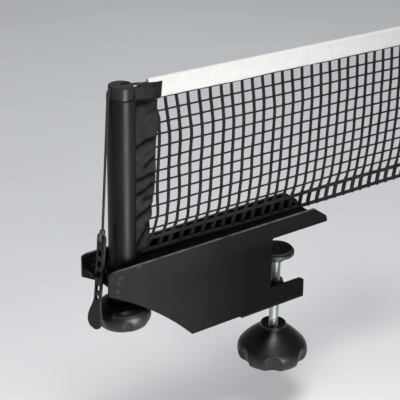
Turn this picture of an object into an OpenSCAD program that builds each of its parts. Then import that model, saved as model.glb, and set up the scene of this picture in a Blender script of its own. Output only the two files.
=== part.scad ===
// Table tennis net clamp. A welded sheet-steel bracket grips the edge of the
// table with a screw, and carries a slotted post that holds the end of the net,
// sets its height and keeps its cord tight.
//
// Millimetres. X = 0 is the table's side edge and +X runs over the table along
// the net. Y = 0 is the plane of the net. Z = 0 is the table top, +Z is up.

/* [Bracket] */
// Width across the two side plates
body_w = 40; // [38:1:46]
// Thickness of the bracket's steel sheet
sheet = 2; // [1.5:0.25:2]
// Reach of the bracket outward from the table's edge
reach = 158.4; // [156:0.2:161]
// Length of the nose that lies over the table
nose = 58.7; // [56:0.1:64]
// Height of the side plates above the table top
rim_z = 16; // [13:0.5:18]
// Depth of the lower arm below the table top
arm_z = 62.4; // [61:0.2:66]
// Radius of the hollow curve under the outer end
curve_r = 290; // [200:5:400]

/* [Table clamp] */
// Distance from the table's edge to the clamp screw
screw_x = 21.3; // [19:0.1:24]
// Gap between the jaw pad and the foot as drawn, the thickness of the table top
table_gap = 22; // [18:0.5:28]
// Diameter of the clamp screw's thread
screw_d = 8; // [8:1:8]
// Diameter of the swivelling foot
foot_d = 30; // [26:1:32]
// Number of finger flutes on each knob
flutes = 6; // [5:1:8]

/* [Post] */
// Outside diameter of the post tube
tube_d = 21.4; // [21:0.1:22.4]
// Wall of the post tube
tube_wall = 1.25; // [1.25:0.05:1.5]
// Top of the post tube above the table
tube_top = 144.8; // [142:0.2:147]
// Width of the slot down the tube's net side
slot_w = 3.2; // [3:0.1:3.8]
// Diameter of the height screw's thread
lift_d = 6; // [5.8:0.1:6]

/* [Net] */
// Height of the net's top edge at the post end
net_top = 154.7; // [154:0.1:156]
// Height of the white tape on the net's top edge
tape_h = 16.1; // [14:0.1:18]
// Where the modelled length of net ends over the table
net_end_x = 172; // [120:1:240]

/* [Hidden] */
$fn = 64;

// derived levels and positions
in_y = body_w / 2 - sheet;          // inner face of a side plate
web_z = 2.2;                        // underside of the top web, on the jaw pad
tray_z = web_z + sheet;             // floor of the tray
px = -(reach - 25);                 // axis of the post
foot_z = -table_gap;                // top of the foot's rubber
tube_r = tube_d / 2;
bore_r = tube_r - tube_wall;        // inside radius of the post tube
screw_r = screw_d / 2;
lift_r = lift_d / 2;
rod_x = px + 7.15;                  // axis of the net's end rod
eye = [-reach + 3.4, -5.5, 38];      // eye of the tension strap, its pivot

// outline of a side plate, X and Z
arc_a = [-80.2, -arm_z];
arc_b = [-reach, -3.4];
outline = [
    [-reach, -arm_z], [-reach, rim_z - 3.5], [-reach + 1.1, rim_z - 2.7],
    [-reach + 6.2, rim_z - 0.7], [-reach + 9.4, rim_z], [nose - 15.2, rim_z],
    [nose - 1.2, 5.9], [nose, 0.4], [0, 0.4], [0, -45.5], [32, -45.5],
    [36, -48.1], [36.4, -arm_z]
];

// meridians of the two knobs, radius and Z
clamp_knob_line = [
    [0, -128.8], [25.8, -128.8], [27, -128.3], [28.6, -126.8], [29.8, -124.6],
    [30.5, -122], [30.6, -119.8], [30.3, -117.4], [29.5, -115.2],
    [28, -113], [26, -110.8], [22, -106.6], [18, -102.9], [14, -99.8],
    [11.6, -98], [10.9, -97], [10.9, -94.3], [0, -94.3]
];
lift_knob_line = [
    [0, -41], [19.2, -41], [20.4, -40.1], [21.7, -37.6], [22.3, -34.6],
    [22.2, -31.8], [21.5, -29], [19.4, -25.9], [16.7, -23.4], [13.7, -21.6],
    [9.2, -20.4], [8.4, -19.6], [8.4, -18.4], [0, -18.4]
];

// tension strap: distance below the eye and half width
strap_line = [
    [-4.2, 3.2], [-3.6, 4.4], [-2.4, 5.1], [-1, 5.25], [3, 5.25], [6, 5],
    [30, 4.7], [43, 4.35], [49.5, 4.2], [53.5, 4.9], [57.5, 6.4], [60.5, 7.7],
    [63.4, 8.5], [65.4, 8.75], [67.8, 8.75], [70, 8.1], [71.7, 6.6],
    [72.9, 4.4], [73.3, 2.4]
];
strap_slots = [[8.8, 13.4], [17.6, 22.8], [26.2, 31.4], [37.6, 42.9]];
bend_s = 50;                        // the lower end bends outward here
bend_a = 5;
strap_tilt = 5.2;                   // lean of the hooked strap, about Y

// route of the tension cord, from the net's tape over the cap to the strap
cord_r = 1;
cord_route = [
    [-110.9, 0, 152], [-115, 0, 152.3], [-119, 0, 152.8], [-123, 0, 153.2],
    [-128, 0, 153.3], [-133, 0, 153.3], [-138, 0, 153.3], [-141.8, 0, 153.2],
    [-143.5, -0.2, 152.6], [-144.8, -0.5, 151.2], [-145.4, -0.9, 148.9],
    [-145.5, -1.2, 146], [-146.02, -1.46, 140], [-146.71, -1.8, 132],
    [-147.57, -2.23, 122], [-148.43, -2.66, 112], [-149.3, -3.1, 102],
    [-150.16, -3.53, 92], [-151.02, -3.96, 82], [-151.88, -4.39, 72],
    [-152.75, -4.82, 62], [-153.44, -5.17, 54], [-154.1, -5.5, 46.4]
];

// centre of the arc of radius r through p and q that hollows the plate
function arc_centre(p, q, r) =
    let (d = q - p, l = norm(d), h = sqrt(r * r - l * l / 4))
    (p + q) / 2 - h * [d[1], -d[0]] / l;

// height of the tape's top edge at x: the net sags a little towards its middle
function top_at(x) = net_top - (x + 110) * 0.0196;

// height of the cord along the net's bottom edge at x
function cord_z(x) = 11.9 - (x + 107.5) * 0.0105;

// a straight ring around an upright axis
module ring(ro, ri, z0, z1) {
    translate([0, 0, z0]) difference() {
        cylinder(r = ro, h = z1 - z0);
        translate([0, 0, -1]) cylinder(r = ri, h = z1 - z0 + 2);
    }
}

// hexagon nut of a width across flats, with its round bore
module hex_nut(af, ri, z0, z1, turn = 0) {
    translate([0, 0, z0]) difference() {
        rotate([0, 0, turn]) cylinder(r = af / sqrt(3), h = z1 - z0, $fn = 6);
        translate([0, 0, -1]) cylinder(r = ri, h = z1 - z0 + 2);
    }
}

// upright slab from an X,Z outline, between two Y values
module slab(pts, y0, y1) {
    translate([0, y1, 0]) rotate([90, 0, 0])
        linear_extrude(y1 - y0) polygon(pts);
}

// moulded knob: a turned body with slanting finger flutes around its skirt
module knob_body(line, fr, fx, fz, tilt, first) {
    difference() {
        rotate_extrude($fn = 128) polygon(line);
        for (k = [0 : flutes - 1])
            rotate([0, 0, first + k * 360 / flutes]) translate([fx, 0, fz])
                rotate([0, tilt, 0]) cylinder(r = fr, h = 90, center = true);
    }
}

// round tube swept along points, for the cord
function unit(v) = v / norm(v);
function ring_at(p, i, r, n) =
    let (
        m = len(p) - 1,
        t = unit(p[min(i + 1, m)] - p[max(i - 1, 0)]),
        u = unit(cross([0, 1, 0], t)),
        v = cross(t, u)
    )
    [for (k = [0 : n - 1]) p[i] + r * (cos(k * 360 / n) * u + sin(k * 360 / n) * v)];
module swept(p, r, n = 8) {
    m = len(p);
    polyhedron(
        points = [for (i = [0 : m - 1]) for (q = ring_at(p, i, r, n)) q],
        faces = concat(
            [[for (k = [0 : n - 1]) k]],
            [for (i = [0 : m - 2]) for (k = [0 : n - 1])
                [i * n + k, (i + 1) * n + k, (i + 1) * n + (k + 1) % n, i * n + (k + 1) % n]],
            [[for (k = [n - 1 : -1 : 0]) (m - 1) * n + k]]
        )
    );
}

// ---- welded bracket ----

module side_plate(y0) {
    c = arc_centre(arc_a, arc_b, curve_r);
    difference() {
        slab(outline, y0, y0 + sheet);
        translate([c[0], y0 + sheet + 1, c[1]]) rotate([90, 0, 0])
            cylinder(r = curve_r, h = sheet + 2, $fn = 720);
    }
}
module side_plate_front() { color("#1b1c1e") side_plate(-body_w / 2); }
module side_plate_back() { color("#1b1c1e") side_plate(in_y); }

module top_web() {
    color("#202123") difference() {
        translate([-reach + 1.8, -in_y, web_z]) cube([reach - 1.8 + nose - 4.7, 2 * in_y, sheet]);
        translate([px, 0, web_z - 1]) cylinder(r = 5, h = sheet + 2);
        for (y = [-8.5, -3.5])
            translate([-reach + 7.9, y, web_z - 1]) cylinder(r = 1.25, h = sheet + 2);
    }
}
module arm_web() {
    color("#1b1c1e") difference() {
        translate([-30, -body_w / 2, -arm_z - sheet]) cube([66.4, body_w, sheet]);
        translate([screw_x, 0, -arm_z - sheet - 1]) cylinder(r = 4.5, h = sheet + 2);
    }
}
module weld_nut() {
    color("#17181a") translate([screw_x, 0, 0])
        hex_nut(13, screw_r + 0.05, -arm_z, -arm_z + 10);
}
module jaw_pad() {
    color("#101010") translate([3, -in_y + 0.5, 0]) cube([50, 2 * in_y - 1, web_z]);
}
module strap_hook() {
    color("#2a2b2d") difference() {
        union() {
            translate([-reach - 4.4, -7.2, tray_z + 4.4]) cube([10, 3.4, 1.8]);
            translate([-reach + 3.8, -7.2, tray_z]) cube([1.8, 3.4, 6.2]);
            translate([-reach + 3.8, -11, tray_z]) cube([7.6, 10, 2]);
        }
        for (y = [-8.5, -3.5])
            translate([-reach + 7.9, y, tray_z - 1]) cylinder(r = 1.25, h = 4);
    }
}
module hook_rivets() {
    color("#3a3b3d") for (y = [-8.5, -3.5]) translate([-reach + 7.9, y, 0]) {
        translate([0, 0, web_z - 1]) cylinder(r = 2.1, h = 1);
        translate([0, 0, web_z]) cylinder(r = 1.25, h = sheet + 2);
        translate([0, 0, tray_z + 2]) cylinder(r = 2.1, h = 1);
    }
}

// ---- table clamp: screw, knob and swivelling foot ----

module clamp_screw() {
    color("#b9bcc0") translate([screw_x, 0, foot_z]) {
        translate([0, 0, -8.9]) cylinder(r = 3.5, h = 4.85);
        translate([0, 0, -11.8]) cylinder(r = 2.5, h = 2.9);
        translate([0, 0, -106.2]) cylinder(r = screw_r, h = 94.4);
    }
}
module clamp_knob() {
    color("#18191a") translate([screw_x, 0, foot_z + 22]) difference() {
        knob_body(clamp_knob_line, 12, 39.1, -120, 12.6, 233.3);
        translate([0, 0, -135]) cylinder(r = screw_r, h = 50);
        translate([0, 0, -130]) cylinder(r = 9, h = 8.7);
        translate([0, 0, -97.8]) cylinder(r1 = 5, r2 = 10.22, h = 3.51);
    }
}
module knob_nut() {
    color("#a5a8ac") translate([screw_x, 0, foot_z + 22])
        hex_nut(13, screw_r, -127.8, -121.3);
}
module foot_cup() {
    color("#2b2c2e") translate([screw_x, 0, foot_z]) difference() {
        union() {
            translate([0, 0, -5]) cylinder(r = foot_d / 2, h = 3);
            translate([0, 0, -11]) cylinder(r = 7, h = 6);
        }
        translate([0, 0, -12]) cylinder(r = 3.9, h = 8);
    }
}
module foot_rubber() {
    color("#0e0e0e") translate([screw_x, 0, foot_z - 2]) cylinder(r = foot_d / 2 - 1.5, h = 2);
}
module foot_retainer() {
    color("#8d9094") translate([screw_x, 0, foot_z]) ring(3.9, 2.6, -11, -9);
}

// ---- post: slotted tube, height screw and plunger ----

module post_tube() {
    color("#191a1c") translate([px, 0, 0]) difference() {
        ring(tube_r, bore_r, tray_z, tube_top);
        translate([0, -slot_w / 2, 20]) cube([tube_r + 1, slot_w, tube_top]);
    }
}
module post_socket() {
    color("#1c1d1f") translate([px, 0, 0]) ring(tube_r + 1.8, tube_r, tray_z, tray_z + 6.3);
}
module base_plug() {
    color("#2a2a2a") translate([px, 0, 0]) ring(bore_r, lift_r + 0.05, tray_z, 16.2);
}
module guide_bush() {
    color("#202122") translate([px, 0, 0]) {
        difference() {
            union() {
                translate([0, 0, -17.3]) cylinder(r = 7, h = web_z + 17.3);
                translate([0, 0, web_z]) cylinder(r = 5, h = sheet);
            }
            translate([0, 0, -18]) cylinder(r = lift_r + 0.05, h = 24);
        }
    }
}
module thrust_washer() {
    color("#9a9da1") translate([px, 0, 0]) ring(6, 3.2, -18.3, -17.3);
}
module height_screw() {
    color("#b4b7bb") translate([px, 0, -40.4]) cylinder(r = lift_r, h = 115.4);
}
module height_knob() {
    color("#18191a") translate([px, 0, 0]) difference() {
        knob_body(lift_knob_line, 14, 35.2, -36, 12, 247);
        translate([0, 0, -45]) cylinder(r = lift_r, h = 30);
        translate([0, 0, -43]) cylinder(r = 6.5, h = 7.4);
    }
}
module height_knob_nut() {
    color("#a5a8ac") translate([px, 0, 0]) hex_nut(10, lift_r, -40.6, -35.6);
}
module screw_circlip() {
    color("#5a5c5f") translate([px, 0, 0]) difference() {
        ring(5.2, lift_r, 16.4, 17.4);
        translate([0, -1.2, 16]) cube([8, 2.4, 2]);
    }
}
module plunger_tube() {
    color("#26272a") translate([px, 0, 0]) difference() {
        translate([0, 0, 48]) cylinder(r = 4.5, h = tube_top - 58.8);
        translate([0, 0, 47]) cylinder(r = 3.2, h = tube_top - 63.8);
    }
}
module plunger_nut() {
    color("#8a8d91") translate([px, 0, 0]) hex_nut(9, lift_r + 0.05, 42, 48, 30);
}
module plunger_guide() {
    color("#2d2e30") translate([px, 0, 0]) difference() {
        ring(bore_r - 0.07, 4.5, 52, 58);
        translate([0, -3, 51]) cube([12, 6, 8]);
    }
}
module post_cap() {
    r = bore_r - 0.07;
    z0 = tube_top - 10.8;
    z1 = tube_top + 10.2;
    color("#202123") translate([px, 0, 0]) difference() {
        rotate_extrude($fn = 96)
            polygon([[0, z0], [r, z0], [r, z1 - 1.2], [r - 0.35, z1 - 0.35], [r - 1.2, z1], [0, z1]]);
        translate([0, -1.3, z1 - 3.4]) cube([r + 1, 2.6, 5]);
        translate([0.5, 0, z1 - 1.7]) rotate([0, -90, 0]) cylinder(r = 1.3, h = r + 2);
        translate([1.6 - r, 0, z1 - 1.7]) rotate([0, -90, 0]) cylinder(r1 = 1.2, r2 = 2.4, h = 3);
    }
}

// ---- tension cord and strap ----

module tension_cord() {
    color("#141416") swept(cord_route, cord_r);
}
// everything that swings on the strap's eye is drawn hanging from it, then leaned
module on_strap() {
    translate(eye) rotate([0, strap_tilt, 0]) children();
}
module cord_crimp() {
    color("#2c2d30") on_strap() translate([0, 0, 4.5]) cylinder(r = 2.3, h = 3.2);
}
module cord_eye() {
    color("#141416") on_strap() {
        translate([0, 0, 2.5]) rotate([-90, 0, 0])
            rotate_extrude(angle = 180, $fn = 48) translate([1.6, 0]) circle(r = 0.7, $fn = 24);
        for (x = [-1.6, 1.6]) translate([x, 0, 2.5]) cylinder(r = 0.7, h = 2, $fn = 24);
    }
}
// front outline of the strap with its eye, slots and hole
module strap_front() {
    difference() {
        polygon(concat([for (p = strap_line) [p[1], -p[0]]],
            [for (i = [len(strap_line) - 1 : -1 : 0]) [-strap_line[i][1], -strap_line[i][0]]]));
        circle(r = 2.2);
        for (s = strap_slots) translate([-2.1, -s[1]]) square([4.2, s[1] - s[0]]);
        translate([0, -47.9]) circle(r = 1.5);
    }
}
// side outline of the strap: 2 mm thick, its lower end bent outward
module strap_side() {
    t = tan(bend_a / 2);
    c = [-30 * sin(bend_a), -bend_s - 30 * cos(bend_a)];
    n = [cos(bend_a), -sin(bend_a)];
    polygon([[-1, 6], [1, 6], [1, -bend_s - t], c + n, c - n, [-1, -bend_s + t]]);
}
module tension_strap() {
    color("#1d1e20") on_strap() difference() {
        intersection() {
            translate([-10, 0, 0]) rotate([90, 0, 90]) linear_extrude(20) strap_front();
            translate([0, 12, 0]) rotate([90, 0, 0]) linear_extrude(24) strap_side();
        }
        for (x = [-1.75, 0.75]) translate([x, -2.9, -3.3]) cube([1, 5.8, 10]);
    }
}

// ---- end of the net ----

module net_end_rod() {
    color("#a8a9a6") translate([rod_x, 0, 21]) cylinder(r = 1.6, h = 105.5);
}
module net_hem() {
    color("#17181a") translate([rod_x, 0, 22]) difference() {
        union() {
            cylinder(r = 2.1, h = 104);
            translate([0, -0.8, 0]) cube([px + 11 - rod_x, 1.6, 104]);
        }
        translate([0, 0, -1]) cylinder(r = 1.6, h = 106);
    }
}
module net_end_band() {
    x = px + 11;
    z = top_at(-111) - tape_h - 0.6;
    color("#17181a") {
        slab([
            [x, 14], [x, 148.6], [x + 2, 149.6], [-117, 150.2], [-113, 150.7],
            [-111, 150.7], [-111, z],
            [-103, z], [-103.6, 100], [-106, 40], [-108, 7], [px + 14, 7], [px + 13, 14]
        ], -1, 1);
        for (y = [-1.75, 1.25]) slab([
            [-118.6, z + 0.2], [-118.6, 149.9], [-113, 150.7], [-106, 150.7], [-97.7, 150.5],
            [-99, z + 0.2]
        ], y, y + 0.5);
        for (y = [-1.3, 1]) slab([
            [-118.4, z + 0.4], [-118.4, 149.7], [-113, 150.5], [-111.2, 150.5], [-111.2, z + 0.4]
        ], y, y + 0.3);
    }
}
module net_mesh() {
    color("#26332d") slab([
        [-103, cord_z(-103) + 1.4], [-102, top_at(-102) - tape_h - 0.05],
        [net_end_x, top_at(net_end_x) - tape_h - 0.05], [net_end_x, cord_z(net_end_x) + 1.4]
    ], -0.3, 0.3);
}
module net_top_tape() {
    color("#e6e7e4") slab([
        [-110.8, top_at(-110.8) - tape_h], [-110.8, top_at(-110.8)],
        [net_end_x, top_at(net_end_x)], [net_end_x, top_at(net_end_x) - tape_h]
    ], -1.2, 1.2);
}
module net_bottom_cord() {
    color("#1d201f") translate([-107.5, 0, cord_z(-107.5)]) rotate([0, 90 + atan(0.0105), 0])
        cylinder(r = 1.25, h = net_end_x + 107.5, $fn = 24);
}
module net_far_hem() {
    color("#17181a") slab([
        [net_end_x + 0.1, 6.6], [net_end_x + 0.1, top_at(net_end_x)],
        [net_end_x + 6, top_at(net_end_x + 6)], [net_end_x + 6, 6.6]
    ], -1.2, 1.2);
}

side_plate_front();
side_plate_back();
top_web();
arm_web();
weld_nut();
jaw_pad();
strap_hook();
hook_rivets();
clamp_screw();
clamp_knob();
knob_nut();
foot_cup();
foot_rubber();
foot_retainer();
post_tube();
post_socket();
base_plug();
guide_bush();
thrust_washer();
height_screw();
height_knob();
height_knob_nut();
screw_circlip();
plunger_tube();
plunger_nut();
plunger_guide();
post_cap();
tension_cord();
cord_crimp();
cord_eye();
tension_strap();
net_end_rod();
net_hem();
net_end_band();
net_mesh();
net_top_tape();
net_bottom_cord();
net_far_hem();
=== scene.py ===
"""Looks of the table tennis net clamp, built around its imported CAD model.

Lengths inside the helpers are millimetres in the part's own frame; meshes are
made in metres.
"""

import math
import random

import bmesh
import bpy
from mathutils import Matrix, Vector


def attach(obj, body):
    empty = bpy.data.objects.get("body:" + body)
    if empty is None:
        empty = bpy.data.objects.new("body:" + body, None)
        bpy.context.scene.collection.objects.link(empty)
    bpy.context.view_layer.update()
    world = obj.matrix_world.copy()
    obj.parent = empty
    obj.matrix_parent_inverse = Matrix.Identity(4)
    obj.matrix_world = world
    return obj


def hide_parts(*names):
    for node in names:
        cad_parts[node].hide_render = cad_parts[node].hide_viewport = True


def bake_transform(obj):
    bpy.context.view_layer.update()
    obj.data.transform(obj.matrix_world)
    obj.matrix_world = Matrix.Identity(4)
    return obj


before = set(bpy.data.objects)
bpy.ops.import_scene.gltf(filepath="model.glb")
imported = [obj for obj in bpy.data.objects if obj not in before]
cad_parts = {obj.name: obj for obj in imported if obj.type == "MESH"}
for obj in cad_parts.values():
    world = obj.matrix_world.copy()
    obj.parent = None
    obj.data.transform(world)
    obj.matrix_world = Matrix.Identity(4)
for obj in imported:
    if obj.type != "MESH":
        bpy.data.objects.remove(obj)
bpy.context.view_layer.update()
MM = 0.001
rng = random.Random(7)

BODY_W = 40.0
SHEET = 2.0
IN_Y = BODY_W / 2 - SHEET
REACH = 158.4
NOSE = 58.7
RIM_Z = 16.0
ARM_Z = 62.4
PX = -(REACH - 25.0)
TUBE_R = 10.7
BORE_R = 9.45
TUBE_TOP = 144.8
SLOT_W = 3.2
SCREW_X = 21.3
ROD_X = PX + 7.15
EYE = Vector((-REACH + 3.4, -5.5, 38.0))
TAPE_H = 16.1
NET_END = 172.0


def top_at(x):
    return 154.7 - (x + 110) * 0.0196


def lerp(a, b, t):
    return a + (b - a) * t


def table(points, x):
    """Smooth value of a table of (x, value) points."""
    pts = sorted(points)
    if x <= pts[0][0]:
        return pts[0][1]
    if x >= pts[-1][0]:
        return pts[-1][1]
    for i in range(len(pts) - 1):
        if pts[i][0] <= x <= pts[i + 1][0]:
            x0, y0 = pts[i]
            x1, y1 = pts[i + 1]
            xa, ya = pts[i - 1] if i else (2 * x0 - x1, 2 * y0 - y1)
            xb, yb = pts[i + 2] if i + 2 < len(pts) else (2 * x1 - x0, 2 * y1 - y0)
            h = x1 - x0
            m0 = (y1 - ya) / (x1 - xa) * h
            m1 = (yb - y0) / (xb - x0) * h
            t = (x - x0) / h
            return (
                (2 * t**3 - 3 * t**2 + 1) * y0
                + (t**3 - 2 * t**2 + t) * m0
                + (3 * t**2 - 2 * t**3) * y1
                + (t**3 - t**2) * m1
            )
    return pts[-1][1]


def cord_z(x):
    return table([(-117, 13.7), (-107.5, 13.8), (-88, 13.6), (-57, 12.9), (-35, 12.0), (-3, 10.8), (50, 10.25), (100, 9.7), (172, 8.97)], x)


# ---------------------------------------------------------------- materials


class Paint:
    """A Principled material and short calls for the nodes that vary it."""

    def __init__(self, name, rough=0.5, metallic=0.0, spec=0.5, sheen=0.0, coat=0.0):
        self.m = bpy.data.materials.new(name)
        self.m.use_nodes = True
        self.t = self.m.node_tree
        self.b = self.t.nodes["Principled BSDF"]
        self.b.inputs["Roughness"].default_value = rough
        self.b.inputs["Metallic"].default_value = metallic
        self.b.inputs["Specular IOR Level"].default_value = spec
        self.b.inputs["Sheen Weight"].default_value = sheen
        self.b.inputs["Sheen Roughness"].default_value = 0.5
        self.b.inputs["Coat Weight"].default_value = coat
        self.place = self.t.nodes.new("ShaderNodeTexCoord").outputs["Object"]

    def put(self, socket, value):
        if isinstance(value, bpy.types.NodeSocket):
            self.t.links.new(value, socket)
        else:
            socket.default_value = value

    def noise(self, scale, detail=3.0, rough=0.5, stretch=None, at=None):
        n = self.t.nodes.new("ShaderNodeTexNoise")
        n.inputs["Scale"].default_value = scale
        n.inputs["Detail"].default_value = detail
        n.inputs["Roughness"].default_value = rough
        src = at or self.place
        if stretch:
            v = self.t.nodes.new("ShaderNodeVectorMath")
            v.operation = "MULTIPLY"
            self.put(v.inputs[0], src)
            v.inputs[1].default_value = stretch
            src = v.outputs[0]
        self.put(n.inputs["Vector"], src)
        return n.outputs["Fac"]

    def math(self, op, a, b=0.0, c=0.0, clamp=False):
        n = self.t.nodes.new("ShaderNodeMath")
        n.operation = op
        n.use_clamp = clamp
        self.put(n.inputs[0], a)
        self.put(n.inputs[1], b)
        self.put(n.inputs[2], c)
        return n.outputs[0]

    def span(self, v, a, b, c, d):
        n = self.t.nodes.new("ShaderNodeMapRange")
        self.put(n.inputs["Value"], v)
        n.inputs["From Min"].default_value = a
        n.inputs["From Max"].default_value = b
        n.inputs["To Min"].default_value = c
        n.inputs["To Max"].default_value = d
        return n.outputs["Result"]

    def split(self, v=None):
        n = self.t.nodes.new("ShaderNodeSeparateXYZ")
        self.put(n.inputs[0], v or self.place)
        return n.outputs

    def attr(self, name):
        n = self.t.nodes.new("ShaderNodeAttribute")
        n.attribute_name = name
        return n.outputs["Vector"]

    def mix(self, f, a, b):
        n = self.t.nodes.new("ShaderNodeMix")
        n.data_type = "RGBA"
        self.put(n.inputs["Factor"], f)
        for s, v in ((n.inputs["A"], a), (n.inputs["B"], b)):
            pass
        ins = [s for s in n.inputs if s.type == "RGBA"]
        for s, v in zip(ins, (a, b)):
            if isinstance(v, bpy.types.NodeSocket):
                self.t.links.new(v, s)
            else:
                s.default_value = (*v, 1.0)
        return [s for s in n.outputs if s.type == "RGBA"][0]

    def colour(self, v):
        if isinstance(v, bpy.types.NodeSocket):
            self.t.links.new(v, self.b.inputs["Base Color"])
        else:
            self.b.inputs["Base Color"].default_value = (*v, 1.0)

    def rough(self, v):
        self.t.links.new(v, self.b.inputs["Roughness"])

    def bump(self, height, strength, depth_mm):
        n = self.t.nodes.new("ShaderNodeBump")
        n.inputs["Strength"].default_value = strength
        n.inputs["Distance"].default_value = depth_mm * MM
        self.put(n.inputs["Height"], height)
        self.t.links.new(n.outputs["Normal"], self.b.inputs["Normal"])
        return n


def coated(name, base, lift, rough, spec=0.3, edge=True, far=None):
    """Satin black powder coat: orange peel, uneven sheen, light rub marks and dust."""
    p = Paint(name, rough=rough, spec=spec)
    big = p.noise(26, 4, 0.55)
    fine = p.noise(900, 3, 0.6)
    c = p.mix(p.span(big, 0.35, 0.68, 0, 1), base, lift)
    scuff = p.noise(120, 6, 0.75, stretch=(0.25, 1, 1.6))
    marks = p.span(scuff, 0.63, 0.76, 0, 0.5)
    c = p.mix(marks, c, [x * 1.7 + 0.006 for x in lift])
    x, y, z = p.split()
    if far:
        # painted shade: the coat's colour darkens towards the jaw, fully low down and a little less at its top
        c = p.mix(p.math("MULTIPLY", p.span(x, -0.128, -0.025, 0, 1), p.span(z, -0.006, 0.006, 1, 0.7)), c, far)
    if edge:
        # lighter in patches along the top rim
        near = p.span(z, (RIM_Z - 0.55) * MM, (RIM_Z - 0.12) * MM, 0, 1)
        lighter_rim = p.math("MULTIPLY", near, p.span(p.noise(70, 4, 0.6), 0.32, 0.62, 0.25, 1), clamp=True)
        c = p.mix(lighter_rim, c, (0.105, 0.107, 0.112))
        # rubbed places at the outer end, where the strap and the hand knock the plate
        ragged = p.math("MULTIPLY", p.math("SUBTRACT", p.noise(420, 5, 0.7), 0.5), 4.0)
        for sx, sz, rx, rz, much in ((-147.7, 9.6, 2.2, 1.5, 0.24), (-149.3, 5.9, 1.5, 1.4, 0.2), (-150.5, -1.3, 1.5, 1.7, 0.2), (-150.6, -5.8, 1.3, 1.4, 0.16), (-131, 13.8, 1.8, 1.1, 0.3)):
            dx = p.math("MULTIPLY", p.math("SUBTRACT", x, sx * MM), 1 / (rx * MM))
            dz = p.math("MULTIPLY", p.math("SUBTRACT", z, sz * MM), 1 / (rz * MM))
            r2 = p.math("ADD", p.math("MULTIPLY", dx, dx), p.math("MULTIPLY", dz, dz))
            c = p.mix(p.span(p.math("ADD", r2, ragged), 0.0, 1.6, much, 0), c, (0.10, 0.10, 0.10))
    p.colour(c)
    p.rough(p.span(p.math("ADD", big, p.math("MULTIPLY", fine, 0.35)), 0.45, 0.9, rough - 0.05, rough + 0.09))
    p.bump(p.math("ADD", fine, p.math("MULTIPLY", p.noise(330, 2, 0.5), 0.6)), 0.16, 0.12)
    return p.m


def moulded(name, base, lift, rough, grain=1500, strength=0.22, spec=0.4):
    """Black moulded plastic with a spark-eroded grain and handling shine."""
    p = Paint(name, rough=rough, spec=spec)
    big = p.noise(38, 4, 0.55)
    fine = p.noise(grain, 3, 0.7)
    c = p.mix(p.span(big, 0.35, 0.68, 0, 1), base, lift)
    dust = p.span(p.noise(420, 5, 0.7), 0.62, 0.78, 0, 0.35)
    c = p.mix(dust, c, [x * 2.0 + 0.003 for x in lift])
    p.colour(c)
    p.rough(p.span(p.math("ADD", big, p.math("MULTIPLY", fine, 0.3)), 0.45, 0.9, rough - 0.07, rough + 0.1))
    p.bump(fine, strength, 0.06)
    return p.m


def metal(name, base, dark, rough, lines=(1, 1, 1), scale=300, bump=0.1, spots=True):
    """Plated or blackened steel with fine turning lines, haze and small stains."""
    p = Paint(name, rough=rough, metallic=1.0, spec=0.5)
    lined = p.noise(scale, 4, 0.6, stretch=lines)
    big = p.noise(60, 5, 0.6)
    c = p.mix(p.span(big, 0.38, 0.66, 0, 1), base, dark)
    if spots:
        c = p.mix(p.span(p.noise(520, 4, 0.7), 0.66, 0.78, 0, 0.6), c, [x * 0.45 for x in dark])
    p.colour(c)
    p.rough(p.span(p.math("ADD", lined, p.math("MULTIPLY", big, 0.5)), 0.5, 1.0, rough - 0.08, rough + 0.14))
    p.bump(lined, bump, 0.05)
    return p.m


def rubber(name, base, lift):
    p = Paint(name, rough=0.82, spec=0.35)
    big = p.noise(60, 5, 0.6)
    fine = p.noise(1300, 4, 0.7)
    p.colour(p.mix(p.span(big, 0.35, 0.7, 0, 1), base, lift))
    p.rough(p.span(fine, 0.3, 0.7, 0.72, 0.92))
    p.bump(fine, 0.3, 0.08)
    return p.m


def braided(name, base, lift, pitch_mm, strands, depth_mm, rough=0.8, sheen=0.25, spec=0.3):
    """Cord of crossing strands; the piece's lay attribute holds its length and turn."""
    p = Paint(name, rough=rough, spec=spec, sheen=sheen)
    s, turn, _ = p.split(p.attr("lay"))
    along = p.math("MULTIPLY", s, 2 * math.pi / (pitch_mm * MM))
    round_ = p.math("MULTIPLY", turn, 2 * math.pi * strands)
    one = p.math("SINE", p.math("ADD", along, round_))
    two = p.math("SINE", p.math("SUBTRACT", along, round_))
    weave = p.math("MAXIMUM", one, two)
    fibre = p.noise(2600, 3, 0.7)
    height = p.math("ADD", weave, p.math("MULTIPLY", fibre, 0.8))
    shade = p.span(weave, -0.6, 1.0, 0, 1)
    c = p.mix(shade, [x * 0.45 for x in base], base)
    c = p.mix(p.span(p.noise(60, 4, 0.6), 0.4, 0.66, 0, 1), c, lift)
    p.colour(c)
    p.bump(height, 0.55, depth_mm)
    return p.m


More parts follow.
